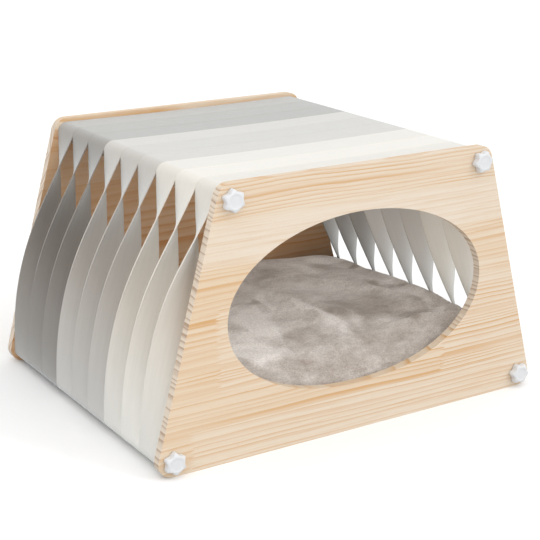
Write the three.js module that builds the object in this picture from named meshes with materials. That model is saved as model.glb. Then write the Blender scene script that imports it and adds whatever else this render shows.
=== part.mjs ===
// Cat bed: two pine end panels joined by four dowels, nine twisted bands and a plush cushion.
// Millimetres, +Z up. The doorway faces -Y, and the origin is under the middle, on the floor.
import * as THREE from 'three';
import { mergeVertices } from 'three/addons/utils/BufferGeometryUtils.js';

// End panels
const PANEL_HEIGHT = 354;
const PANEL_BASE_WIDTH = 600;
const PANEL_TOP_WIDTH = 409;
const PANEL_THICKNESS = 12;
const PANEL_CORNER_RADIUS = 20;
const PANEL_CHAMFER = 1.5;
const CORNER_ARC_DIVISIONS = 4;

// Oval doorway, a little squarer in its lower half
const DOOR_HALF_WIDTH = 196;
const DOOR_CENTRE_HEIGHT = 180;
const DOOR_RISE = 114;
const DOOR_DROP = 115.5;
const DOOR_UPPER_EXPONENT = 2;
const DOOR_LOWER_EXPONENT = 2.12;
const DOOR_SIDES = 72;

// Bands: nine side by side fill the space between the panels
const BAND_COUNT = 9;
const BAND_PITCH = 50;
const BAND_WIDTH = 49.2;
const BAND_THICKNESS = 1.6;
const BAND_GAP = 0.7;
const BAND_TOP_SAG = 1.5;
const SIDE_STEPS = 18;
const TOP_STEPS = 4;
const ARC_STEP_DEGREES = 15;

// Dowels, knobs and their holes
const CLEARANCE = 0.3;
const ROD_RADIUS = 12.5;
const ROD_SIDES = 24;
const STUD_RADIUS = 4;
const STUD_LENGTH = 33;
const HOLE_RADIUS = 4.4;
const ROD_HOLE_DEPTH = 24;
const HOLE_SIDES = 16;
const KNOB_SIDES = 24;
const KNOB_LOBES = 6;
const FLUTE_POWER = 0.8;

// How far each knob is screwed round, in degrees from +X to its first lobe
const KNOB_TURNS = { top_left: 35, top_right: 9, bottom_left: 31, bottom_right: 53 };

// Knob section from the stud's tip to the dished face: height above the panel,
// radius at a lobe, and how deep the flutes cut in at that height
const KNOB_SECTION = [
  { height: -STUD_LENGTH, radius: 0, flute: 0 },
  { height: -STUD_LENGTH, radius: 3.2, flute: 0 },
  { height: 1 - STUD_LENGTH, radius: STUD_RADIUS, flute: 0 },
  { height: 0, radius: STUD_RADIUS, flute: 0 },
  { height: 0, radius: 14.2, flute: 3 },
  { height: 1, radius: 15, flute: 3.6 },
  { height: 6, radius: 15, flute: 3.6 },
  { height: 8.6, radius: 13.2, flute: 2 },
  { height: 9.9, radius: 10.6, flute: 0.2 },
  { height: 10, radius: 8.8, flute: 0 },
  { height: 9.3, radius: 7.6, flute: 0 },
  { height: 9.2, radius: 0, flute: 0 },
];

// Each band from the back to the front: its colour, how many degrees its half turn
// runs ahead at mid height on the left and right, and how far it bows out on the right
const BANDS = [
  { shade: 'grey', leftLead: 0, rightLead: 4, rightBow: 2.7 },
  { shade: 'grey', leftLead: 0, rightLead: -1.5, rightBow: 2.9 },
  { shade: 'grey', leftLead: 1, rightLead: 1, rightBow: 2.4 },
  { shade: 'pale', leftLead: 2, rightLead: 3, rightBow: 1 },
  { shade: 'pale', leftLead: 5, rightLead: 2.5, rightBow: 0 },
  { shade: 'pale', leftLead: 5, rightLead: 1.5, rightBow: 0 },
  { shade: 'cream', leftLead: 3, rightLead: 0, rightBow: 0 },
  { shade: 'cream', leftLead: 6, rightLead: 1, rightBow: 0 },
  { shade: 'cream', leftLead: 12, rightLead: 2, rightBow: 0 },
];

// Cushion: size, how square its corners and its upper edge are, and how far its sides draw in
const CUSHION_HALF_LENGTH = 250;
const CUSHION_HALF_DEPTH = 224.5;
const CUSHION_BOTTOM = 7.2;
const CORNER_SQUARENESS = 10;
const EDGE_SQUARENESS = 8;
const CUSHION_SIDE_DRAW = 4;
const CUSHION_FLAT_BASE = 1.1;
const CUSHION_CELLS = { x: 26, y: 22, z: 4 };

// Height of the cushion's crown at its left end, middle and right end, from front to back
const CUSHION_CROWN = [
  { depth: -222, left: 92, middle: 74, right: 104 },
  { depth: -150, left: 108, middle: 92, right: 114 },
  { depth: -60, left: 108, middle: 103, right: 113 },
  { depth: 60, left: 106, middle: 107, right: 108 },
  { depth: 160, left: 100, middle: 111, right: 100 },
  { depth: 222, left: 90, middle: 108, right: 88 },
];

// Soft folds in the cushion's top: a bell across the line from one end to the other
const CUSHION_FOLDS = [
  { from: [44, 5], to: [60, -100], width: 26, rise: 5 },
  { from: [60, -100], to: [30, -190], width: 24, rise: 5 },
  { from: [105, 20], to: [150, -60], width: 34, rise: -5 },
  { from: [145, -128], to: [200, -140], width: 15, rise: -7 },
  { from: [140, -156], to: [214, -172], width: 16, rise: 4 },
  { from: [-30, -60], to: [-60, -150], width: 30, rise: -4 },
  { from: [-150, 60], to: [-60, 120], width: 34, rise: 4 },
  { from: [-190, -40], to: [-110, -120], width: 30, rise: -5 },
  { from: [170, 120], to: [225, 60], width: 24, rise: -4 },
];

// Sizes that follow from the ones above
const BED_DEPTH = BAND_COUNT * BAND_PITCH + 2 * PANEL_THICKNESS;
const INNER_DEPTH = BAND_COUNT * BAND_PITCH;
const SIDE_LEAN = Math.atan2((PANEL_BASE_WIDTH - PANEL_TOP_WIDTH) / 2, PANEL_HEIGHT);
const TOP_ROD = cornerCentre(PANEL_HEIGHT - PANEL_CORNER_RADIUS);
const BOTTOM_ROD = cornerCentre(PANEL_CORNER_RADIUS);
const BAND_ARC_RADIUS = ROD_RADIUS + BAND_GAP + BAND_THICKNESS / 2;

const PINE = new THREE.MeshStandardMaterial({ color: 0xecd8be, roughness: 0.6, metalness: 0 });
const KNOB_WHITE = new THREE.MeshStandardMaterial({ color: 0xebecee, roughness: 0.3, metalness: 0 });
const PLUSH = new THREE.MeshStandardMaterial({ color: 0xb4aba2, roughness: 0.95, metalness: 0 });
const BAND_MATERIALS = {
  grey: new THREE.MeshStandardMaterial({ color: 0xcfd0cb, roughness: 0.85, metalness: 0 }),
  pale: new THREE.MeshStandardMaterial({ color: 0xe2e1dd, roughness: 0.85, metalness: 0 }),
  cream: new THREE.MeshStandardMaterial({ color: 0xf0efea, roughness: 0.85, metalness: 0 }),
};

// The centre of a panel's corner round, where its dowel and knob sit
function cornerCentre(height) {
  const halfWidth = PANEL_BASE_WIDTH / 2 - height * Math.tan(SIDE_LEAN);
  return { x: halfWidth - PANEL_CORNER_RADIUS / Math.cos(SIDE_LEAN), z: height };
}

// Panels

function panelOutline() {
  const outline = new THREE.Shape();
  const quarter = Math.PI / 2;
  const right = SIDE_LEAN;
  const left = Math.PI - SIDE_LEAN;
  outline.absarc(BOTTOM_ROD.x, BOTTOM_ROD.z, PANEL_CORNER_RADIUS, -quarter, right);
  outline.absarc(TOP_ROD.x, TOP_ROD.z, PANEL_CORNER_RADIUS, right, quarter);
  outline.absarc(-TOP_ROD.x, TOP_ROD.z, PANEL_CORNER_RADIUS, quarter, left);
  outline.absarc(-BOTTOM_ROD.x, BOTTOM_ROD.z, PANEL_CORNER_RADIUS, left, 3 * quarter);
  outline.closePath();
  for (const rod of [TOP_ROD, BOTTOM_ROD]) {
    for (const side of [-1, 1]) {
      outline.holes.push(closedPath(HOLE_SIDES, (angle) => new THREE.Vector2(
        side * rod.x + HOLE_RADIUS * Math.cos(angle),
        rod.z + HOLE_RADIUS * Math.sin(angle),
      )));
    }
  }
  return outline;
}

function closedPath(count, pointAt) {
  const points = [];
  for (let step = 0; step < count; step += 1) {
    points.push(pointAt((2 * Math.PI * step) / count));
  }
  return new THREE.Path(points);
}

function doorPoint(angle) {
  const upper = Math.sin(angle) >= 0;
  const power = 2 / (upper ? DOOR_UPPER_EXPONENT : DOOR_LOWER_EXPONENT);
  const across = Math.sign(Math.cos(angle)) * Math.abs(Math.cos(angle)) ** power;
  const along = Math.sign(Math.sin(angle)) * Math.abs(Math.sin(angle)) ** power;
  return new THREE.Vector2(
    DOOR_HALF_WIDTH * across,
    DOOR_CENTRE_HEIGHT + (upper ? DOOR_RISE : DOOR_DROP) * along,
  );
}

function panelGeometry(outline) {
  const geometry = new THREE.ExtrudeGeometry(outline, {
    depth: PANEL_THICKNESS - 2 * PANEL_CHAMFER,
    bevelThickness: PANEL_CHAMFER,
    bevelSize: PANEL_CHAMFER,
    bevelOffset: -PANEL_CHAMFER,
    bevelSegments: 1,
    curveSegments: CORNER_ARC_DIVISIONS,
  });
  geometry.translate(0, 0, PANEL_CHAMFER);
  return geometry.rotateX(Math.PI / 2);
}

function frontPanel() {
  const outline = panelOutline();
  outline.holes.push(closedPath(DOOR_SIDES, doorPoint));
  const panel = new THREE.Mesh(panelGeometry(outline), PINE);
  panel.name = 'front_panel';
  panel.position.y = -INNER_DEPTH / 2;
  return panel;
}

function backPanel() {
  const panel = new THREE.Mesh(panelGeometry(panelOutline()), PINE);
  panel.name = 'back_panel';
  panel.position.y = BED_DEPTH / 2;
  return panel;
}

// Dowels, bored at both ends for the knobs' studs

function rod(name, x, z) {
  const end = INNER_DEPTH / 2 - CLEARANCE;
  const floor = end - ROD_HOLE_DEPTH;
  const profile = [
    new THREE.Vector2(0, -floor),
    new THREE.Vector2(HOLE_RADIUS, -floor),
    new THREE.Vector2(HOLE_RADIUS, -end),
    new THREE.Vector2(ROD_RADIUS, -end),
    new THREE.Vector2(ROD_RADIUS, end),
    new THREE.Vector2(HOLE_RADIUS, end),
    new THREE.Vector2(HOLE_RADIUS, floor),
    new THREE.Vector2(0, floor),
  ];
  const dowel = new THREE.Mesh(new THREE.LatheGeometry(profile, ROD_SIDES), PINE);
  dowel.name = name;
  dowel.position.set(x, 0, z);
  return dowel;
}

// Knobs: turned on a lathe, then fluted between the lobes

function knobGeometry() {
  const profile = KNOB_SECTION.map((row) => new THREE.Vector2(row.radius, row.height));
  const geometry = new THREE.LatheGeometry(profile, KNOB_SIDES);
  const place = geometry.attributes.position;
  for (let index = 0; index < place.count; index += 1) {
    const row = KNOB_SECTION[index % KNOB_SECTION.length];
    const angle = Math.atan2(place.getX(index), place.getZ(index));
    const hollow = ((1 - Math.cos(KNOB_LOBES * angle)) / 2) ** FLUTE_POWER;
    const shrink = row.radius > 0 ? 1 - (row.flute * hollow) / row.radius : 1;
    place.setX(index, place.getX(index) * shrink);
    place.setZ(index, place.getZ(index) * shrink);
  }
  return geometry;
}

function knob(name, x, z, facing, turn) {
  const star = new THREE.Mesh(knobGeometry(), KNOB_WHITE);
  star.name = name;
  star.rotation.y = Math.PI / 2 - turn;
  star.rotation.z = facing < 0 ? Math.PI : 0;
  star.position.set(x, facing * (BED_DEPTH / 2 + CLEARANCE), z);
  return star;
}

// Bands: closed loops with a half turn between the dowels on each side

// One cross-section: where its middle is, which way is outward, and how far it has turned
function station(x, z, outwardAngle, turn) {
  const outward = new THREE.Vector3(Math.cos(outwardAngle), 0, Math.sin(outwardAngle));
  const forward = new THREE.Vector3(0, 1, 0);
  return {
    middle: new THREE.Vector3(x, 0, z),
    across: forward.clone().multiplyScalar(Math.cos(turn)).addScaledVector(outward, -Math.sin(turn)),
    through: outward.clone().multiplyScalar(Math.cos(turn)).addScaledVector(forward, Math.sin(turn)),
  };
}

function arcStations(rodCentre, side, from, to, turn) {
  const steps = Math.round(THREE.MathUtils.radToDeg(Math.abs(to - from)) / ARC_STEP_DEGREES);
  const stations = [];
  for (let step = 0; step < steps; step += 1) {
    const angle = from + ((to - from) * step) / steps;
    const x = side * rodCentre.x + BAND_ARC_RADIUS * Math.cos(angle);
    const z = rodCentre.z + BAND_ARC_RADIUS * Math.sin(angle);
    stations.push(station(x, z, angle, turn));
  }
  return stations;
}

// The straight run down one side, from the upper dowel to the lower one
function sideStations(side, lead, bow) {
  const outwardAngle = side > 0 ? SIDE_LEAN : Math.PI - SIDE_LEAN;
  const out = new THREE.Vector2(Math.cos(outwardAngle), Math.sin(outwardAngle));
  const upper = new THREE.Vector2(side * TOP_ROD.x, TOP_ROD.z).addScaledVector(out, BAND_ARC_RADIUS);
  const lower = new THREE.Vector2(side * BOTTOM_ROD.x, BOTTOM_ROD.z)
    .addScaledVector(out, BAND_ARC_RADIUS);
  const stations = [];
  for (let step = 0; step <= SIDE_STEPS; step += 1) {
    const down = step / SIDE_STEPS;
    const swell = Math.sin(Math.PI * down);
    const turn = Math.PI * down + THREE.MathUtils.degToRad(lead) * swell * swell;
    const middle = upper.clone().lerp(lower, down).addScaledVector(out, bow * swell);
    stations.push(station(middle.x, middle.y, outwardAngle, turn));
  }
  return stations;
}

function topStations() {
  const stations = [];
  for (let step = 1; step < TOP_STEPS; step += 1) {
    const across = (2 * step) / TOP_STEPS - 1;
    const height = TOP_ROD.z + BAND_ARC_RADIUS - BAND_TOP_SAG * (1 - across * across);
    stations.push(station(-across * TOP_ROD.x, height, Math.PI / 2, 0));
  }
  return stations;
}

function bandStations(band) {
  const left = Math.PI - SIDE_LEAN;
  const up = Math.PI / 2;
  return [
    ...topStations(),
    ...arcStations(TOP_ROD, -1, up, left, 0),
    ...sideStations(-1, band.leftLead, 0),
    ...arcStations(BOTTOM_ROD, -1, left, 3 * up, Math.PI).slice(1),
    station(-BOTTOM_ROD.x, BOTTOM_ROD.z - BAND_ARC_RADIUS, 3 * up, Math.PI),
    ...arcStations(BOTTOM_ROD, 1, -up, SIDE_LEAN, Math.PI),
    ...sideStations(1, band.rightLead, band.rightBow).reverse(),
    ...arcStations(TOP_ROD, 1, SIDE_LEAN, up, 0).slice(1),
    station(TOP_ROD.x, TOP_ROD.z + BAND_ARC_RADIUS, up, 0),
  ];
}

// Corner order round a section: outer back, outer front, inner front, inner back
const SECTION_CORNERS = [
  { across: 1, through: 1 },
  { across: -1, through: 1 },
  { across: -1, through: -1 },
  { across: 1, through: -1 },
];

// Both broad faces are split along the same diagonal, so the twisted sheet keeps its thickness
const SECTION_TRIANGLES = [
  [[0, 0], [1, 1], [0, 1]],
  [[0, 0], [1, 0], [1, 1]],
  [[0, 1], [1, 2], [0, 2]],
  [[0, 1], [1, 1], [1, 2]],
  [[0, 3], [0, 2], [1, 2]],
  [[0, 3], [1, 2], [1, 3]],
  [[0, 3], [1, 0], [0, 0]],
  [[0, 3], [1, 3], [1, 0]],
];

function bandGeometry(band) {
  const stations = bandStations(band);
  const corners = SECTION_CORNERS.length;
  const points = [];
  const faces = [];
  stations.forEach((section, row) => {
    for (const corner of SECTION_CORNERS) {
      const point = section.middle.clone()
        .addScaledVector(section.across, (corner.across * BAND_WIDTH) / 2)
        .addScaledVector(section.through, (corner.through * BAND_THICKNESS) / 2);
      points.push(point.x, point.y, point.z);
    }
    const rows = [row, (row + 1) % stations.length];
    for (const triangle of SECTION_TRIANGLES) {
      faces.push(...triangle.map(([ahead, corner]) => rows[ahead] * corners + corner));
    }
  });
  const geometry = new THREE.BufferGeometry();
  geometry.setAttribute('position', new THREE.Float32BufferAttribute(points, 3));
  geometry.setIndex(faces);
  return geometry;
}

function bandLoop(band, index) {
  const loop = new THREE.Mesh(bandGeometry(band), BAND_MATERIALS[band.shade]);
  loop.name = `band_${index + 1}`;
  loop.position.y = INNER_DEPTH / 2 - BAND_PITCH * (index + 0.5);
  return loop;
}

// Cushion: one filled form with a crown, drawn-in sides and soft folds

function foldHeight(x, y) {
  let height = 0;
  for (const fold of CUSHION_FOLDS) {
    const start = new THREE.Vector2(...fold.from);
    const line = new THREE.Vector2(...fold.to).sub(start);
    const offset = new THREE.Vector2(x, y).sub(start);
    const along = THREE.MathUtils.clamp(offset.dot(line) / line.lengthSq(), 0, 1);
    const distance = offset.addScaledVector(line, -along).length();
    height += fold.rise * Math.exp(-((distance / fold.width) ** 2));
  }
  return height;
}

// The crown's three heights at one depth, eased between the rows of the table
function crownAt(y) {
  const last = CUSHION_CROWN.length - 1;
  const ahead = CUSHION_CROWN.findIndex((row) => row.depth > y);
  const upper = ahead < 0 ? last : Math.max(ahead, 1);
  const near = CUSHION_CROWN[upper - 1];
  const far = CUSHION_CROWN[upper];
  const part = THREE.MathUtils.smoothstep(y, near.depth, far.depth);
  const mix = (key) => THREE.MathUtils.lerp(near[key], far[key], part);
  return { left: mix('left'), middle: mix('middle'), right: mix('right') };
}

function topHeight(x, y) {
  const crown = crownAt(y);
  const across = x / CUSHION_HALF_LENGTH;
  const lean = ((crown.right - crown.left) / 2) * across;
  const bow = ((crown.right + crown.left) / 2 - crown.middle) * across * across;
  return crown.middle + lean + bow + foldHeight(x, y);
}

function cushionGeometry() {
  const { x: columns, y: rows, z: layers } = CUSHION_CELLS;
  const geometry = new THREE.BoxGeometry(2, 2, 2, columns, rows, layers);
  geometry.deleteAttribute('normal');
  geometry.deleteAttribute('uv');
  const form = mergeVertices(geometry);
  const place = form.attributes.position;
  const point = new THREE.Vector3();
  for (let index = 0; index < place.count; index += 1) {
    point.fromBufferAttribute(place, index);
    point.divideScalar(roundedReach(point));
    const x = point.x * (CUSHION_HALF_LENGTH - CUSHION_SIDE_DRAW * (1 - point.y * point.y));
    const y = point.y * (CUSHION_HALF_DEPTH - CUSHION_SIDE_DRAW * (1 - point.x * point.x));
    const level = Math.max(-1, point.z < 0 ? point.z * CUSHION_FLAT_BASE : point.z);
    const halfHeight = (topHeight(x, y) - CUSHION_BOTTOM) / 2;
    place.setXYZ(index, x, y, CUSHION_BOTTOM + halfHeight * (1 + level));
  }
  return form;
}

// How far a point of a cube lies outside the block with rounded corners and edges
function roundedReach(point) {
  const plan = Math.abs(point.x) ** CORNER_SQUARENESS + Math.abs(point.y) ** CORNER_SQUARENESS;
  const rim = plan ** (EDGE_SQUARENESS / CORNER_SQUARENESS);
  return (rim + Math.abs(point.z) ** EDGE_SQUARENESS) ** (1 / EDGE_SQUARENESS);
}

function cushion() {
  const pad = new THREE.Mesh(cushionGeometry(), PLUSH);
  pad.name = 'cushion';
  return pad;
}

// The bed

const bed = new THREE.Group();
bed.add(frontPanel());
bed.add(backPanel());
for (const [level, place] of [['top', TOP_ROD], ['bottom', BOTTOM_ROD]]) {
  for (const [hand, side] of [['left', -1], ['right', 1]]) {
    const turn = THREE.MathUtils.degToRad(KNOB_TURNS[`${level}_${hand}`]);
    bed.add(rod(`rod_${level}_${hand}`, side * place.x, place.z));
    bed.add(knob(`knob_front_${level}_${hand}`, side * place.x, place.z, -1, turn));
    bed.add(knob(`knob_back_${level}_${hand}`, side * place.x, place.z, 1, turn));
  }
}
BANDS.forEach((band, index) => bed.add(bandLoop(band, index)));
bed.add(cushion());

export default bed;
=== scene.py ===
"""The looks of a cat bed: pine end panels, twisted elastic bands, star knobs and a plush cushion.

Metres, +Z up. The doorway faces -Y and the bed stands on the floor at height 0.
"""
import math

import bmesh
import bpy
import numpy as np
from mathutils import Matrix, Vector, noise
from mathutils.bvhtree import BVHTree


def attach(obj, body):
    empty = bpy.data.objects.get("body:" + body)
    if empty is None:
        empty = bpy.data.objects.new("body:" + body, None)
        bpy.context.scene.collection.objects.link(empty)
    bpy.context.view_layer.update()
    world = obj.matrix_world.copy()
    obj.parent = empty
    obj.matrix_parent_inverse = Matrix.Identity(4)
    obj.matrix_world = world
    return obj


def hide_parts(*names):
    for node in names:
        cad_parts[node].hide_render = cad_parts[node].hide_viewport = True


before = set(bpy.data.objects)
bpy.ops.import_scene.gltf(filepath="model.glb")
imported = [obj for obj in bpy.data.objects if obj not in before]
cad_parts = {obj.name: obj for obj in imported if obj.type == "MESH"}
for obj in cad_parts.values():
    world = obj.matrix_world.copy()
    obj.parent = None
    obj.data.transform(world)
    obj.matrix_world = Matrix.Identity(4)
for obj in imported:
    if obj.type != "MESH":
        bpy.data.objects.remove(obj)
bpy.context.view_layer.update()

MM = 0.001

# Sizes that the pieces share with the frame
PANEL_HEIGHT = 354 * MM
PANEL_BASE_WIDTH = 600 * MM
PANEL_TOP_WIDTH = 409 * MM
PANEL_THICKNESS = 12 * MM
PANEL_CORNER_RADIUS = 20 * MM
INNER_DEPTH = 450 * MM
DOOR_HALF_WIDTH = 196 * MM
DOOR_CENTRE_HEIGHT = 180 * MM
DOOR_RISE = 114 * MM
DOOR_DROP = 115.5 * MM
DOOR_LOWER_EXPONENT = 2.12
ROD_RADIUS = 12.5 * MM
BAND_PITCH = 50 * MM
BAND_WIDTH = 49.8 * MM
BAND_THICKNESS = 1.6 * MM
BAND_GAP = 0.7 * MM
BAND_TOP_SAG = 1.5 * MM
KNOB_LOBES = 6
FLUTE_POWER = 0.8

SIDE_LEAN = math.atan2((PANEL_BASE_WIDTH - PANEL_TOP_WIDTH) / 2, PANEL_HEIGHT)

# The photograph's camera
CAMERA_AZIMUTH = -32.25
CAMERA_ELEVATION = 17.49
CAMERA_DISTANCE = 1.9545
CAMERA_TARGET = Vector((0.0133, 0, 0.1512))
CAMERA_LENS = 91.72
CAMERA_SENSOR = 36

# The studio's light and floor
BED_MIDDLE = Vector((0, 0, 0.15))
FILL_DISTANCE = 0.8
WORLD_STRENGTH = 0.88
KEY_STRENGTH = 1.25
WINDOW_STRENGTH = 0.25
FILL_POWER = 0.15
FLOOR_BOUNCE = 0.68
FLOOR_SEEN = 0.96
FLOOR_HALF_WIDTH = 6
ROOF_GLOW = 0.10
SIDE_GLOW = 0.05


def corner_centre(height):
    """The middle of a panel's corner round, where the dowel and the knob sit."""
    half_width = PANEL_BASE_WIDTH / 2 - height * math.tan(SIDE_LEAN)
    return Vector((half_width - PANEL_CORNER_RADIUS / math.cos(SIDE_LEAN), 0, height))


TOP_ROD = corner_centre(PANEL_HEIGHT - PANEL_CORNER_RADIUS)
BOTTOM_ROD = corner_centre(PANEL_CORNER_RADIUS)


# Camera, light and floor

def direction(azimuth, elevation):
    """Towards a light. Azimuth 0 is in front of the doorway, and 90 is on its right."""
    azimuth, elevation = math.radians(azimuth), math.radians(elevation)
    flat = math.cos(elevation)
    return Vector((math.sin(azimuth) * flat, -math.cos(azimuth) * flat, math.sin(elevation)))


def place_camera():
    camera = bpy.data.objects.new("camera", bpy.data.cameras.new("camera"))
    bpy.context.scene.collection.objects.link(camera)
    back = direction(CAMERA_AZIMUTH, CAMERA_ELEVATION)
    camera.location = CAMERA_TARGET + back * CAMERA_DISTANCE
    camera.rotation_euler = (-back).to_track_quat("-Z", "Y").to_euler()
    camera.data.lens = CAMERA_LENS
    camera.data.sensor_width = CAMERA_SENSOR
    bpy.context.scene.camera = camera


def soft_light(name, azimuth, elevation, spread, strength):
    """A broad light at infinity, so the floor is lit evenly."""
    light = bpy.data.lights.new(name, "SUN")
    light.angle = math.radians(spread)
    light.energy = strength
    holder = bpy.data.objects.new(name, light)
    bpy.context.scene.collection.objects.link(holder)
    holder.rotation_euler = (-direction(azimuth, elevation)).to_track_quat("-Z", "Y").to_euler()


def softbox(name, place, towards, size, power):
    """A square light near the bed or in it, so what is nearer to it is brighter."""
    light = bpy.data.lights.new(name, "AREA")
    light.size = size
    light.energy = power
    holder = bpy.data.objects.new(name, light)
    bpy.context.scene.collection.objects.link(holder)
    holder.visible_camera = False
    holder.location = place
    holder.rotation_euler = towards.to_track_quat("-Z", "Y").to_euler()


def light_studio():
    world = bpy.data.worlds.new("studio")
    bpy.context.scene.world = world
    world.use_nodes = True
    background = world.node_tree.nodes["Background"]
    background.inputs["Color"].default_value = (1, 1, 1, 1)
    background.inputs["Strength"].default_value = WORLD_STRENGTH
    soft_light("key", azimuth=0, elevation=40, spread=120, strength=KEY_STRENGTH)
    soft_light("window", azimuth=38, elevation=42, spread=5, strength=WINDOW_STRENGTH)
    fill = direction(azimuth=-50, elevation=20)
    softbox("fill", BED_MIDDLE + fill * FILL_DISTANCE, -fill, size=0.4, power=FILL_POWER)

    # The daylight that comes in through the thin roof bands and between the left ones
    softbox(
        "roof glow", place=Vector((-0.03, 0.01, 0.33)), towards=Vector((0, 0, -1)),
        size=0.26, power=ROOF_GLOW)
    softbox(
        "side glow", place=Vector((-0.16, -0.17, 0.22)), towards=Vector((1, 0.1, 0.05)),
        size=0.09, power=SIDE_GLOW)
    bpy.context.scene.view_settings.view_transform = "Standard"


# Shader building

class Graph:
    """Adds nodes to a tree. An input is a plain value, or another node's socket to link."""

    def __init__(self, tree):
        self.tree = tree

    def node(self, kind, inputs=None, **settings):
        made = self.tree.nodes.new(kind)
        for key, value in settings.items():
            setattr(made, key, value)
        for key, value in (inputs or {}).items():
            if isinstance(value, bpy.types.NodeSocket):
                self.tree.links.new(value, made.inputs[key])
            else:
                made.inputs[key].default_value = value
        return made

    def math(self, operation, *values, clamp=False):
        inputs = dict(enumerate(values))
        return self.node("ShaderNodeMath", inputs, operation=operation, use_clamp=clamp).outputs[0]

    def vector(self, operation, *values):
        inputs = dict(enumerate(values))
        return self.node("ShaderNodeVectorMath", inputs, operation=operation).outputs[0]

    def noise(self, position, scale, detail=2.0, roughness=0.5):
        inputs = {"Vector": position, "Scale": scale, "Detail": detail, "Roughness": roughness}
        return self.node("ShaderNodeTexNoise", inputs).outputs["Fac"]

    def mix(self, share, first, second, blend="MIX"):
        inputs = {0: share, 6: first, 7: second}
        made = self.node("ShaderNodeMix", inputs, data_type="RGBA", blend_type=blend)
        return made.outputs[2]

    def spread(self, value, low, high, to_low=0.0, to_high=1.0):
        inputs = {0: value, 1: low, 2: high, 3: to_low, 4: to_high}
        return self.node("ShaderNodeMapRange", inputs).outputs[0]


def new_material(name, roughness, specular):
    material = bpy.data.materials.new(name)
    material.use_nodes = True
    shader = material.node_tree.nodes["Principled BSDF"]
    shader.inputs["Roughness"].default_value = roughness
    shader.inputs["Specular IOR Level"].default_value = specular
    return material, Graph(material.node_tree), shader


def new_group(name, inputs, outputs):
    """A shader node group. Inputs are name: (kind, start value); outputs are name: kind."""
    tree = bpy.data.node_groups.new(name, "ShaderNodeTree")
    for key, (kind, value) in inputs.items():
        socket = tree.interface.new_socket(key, in_out="INPUT", socket_type="NodeSocket" + kind)
        if value is not None:
            socket.default_value = value
    for key, kind in outputs.items():
        tree.interface.new_socket(key, in_out="OUTPUT", socket_type="NodeSocket" + kind)
    graph = Graph(tree)
    return tree, graph, graph.node("NodeGroupInput").outputs, graph.node("NodeGroupOutput")


# Pine

PINE_PALE = (0.74, 0.65, 0.54, 1)
PINE_WARM = (0.70, 0.545, 0.375, 1)
PINE_LATE = (0.61, 0.35, 0.145, 1)
END_PALE = (0.77, 0.67, 0.55, 1)
END_LATE = (0.33, 0.19, 0.10, 1)
# Painted shade: the back panel's face towards the cabin is multiplied by this colour, darker and warmer
CABIN_PAINTED_SHADE = (0.88, 0.69, 0.53, 1)
FINGER_PITCH = 4 * MM
FINGER_LENGTH = 9 * MM
GLUE_HALF_WIDTH = 0.35 * MM

# How far the trunk's waves, and its good and bad years, push the rings about
LONG_WAVE = 0.02
SHORT_WAVE = 0.0008
GROWTH_DRIFT = 0.03
GROWTH_SCALE = 45

# How the late wood darkens over a ring and ends, and how much more it does so in some years
LEAST_SHARPNESS = 1.3
MORE_SHARPNESS = 4.0
RING_ENDS = 0.9
LEAST_DEPTH = 0.5
MORE_DEPTH = 1.2
END_SHARPNESS = 3.5

# How the second length of a board differs: its rings' place and width, and its warmth
SECOND_SHIFT = 0.0043
SECOND_NARROWER = -0.22
SECOND_PALER = -0.25

# Painted shade: how far the wood is painted warmer and darker towards the left end, and between which
# places along X
LEFT_PAINTED_SHADE = 0.22
LEFT_STARTS = 0.1
LEFT_ENDS = -0.22
BROAD_WARMTH = 0.8

# How far the fine marks darken the wood
FIBRE_SHARE = 0.16
STREAK_SHARE = 0.35
PORE_SHARE = 0.3
SPECK_SHARE = 0.2
GLUE_SHARE = 0.2

# Painted shade: the heights between which the painted warm shade inside the cabin fades out under the
# roof
CABIN_FADE_ENDS = 0.342
CABIN_FADE_STARTS = 0.334


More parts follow.
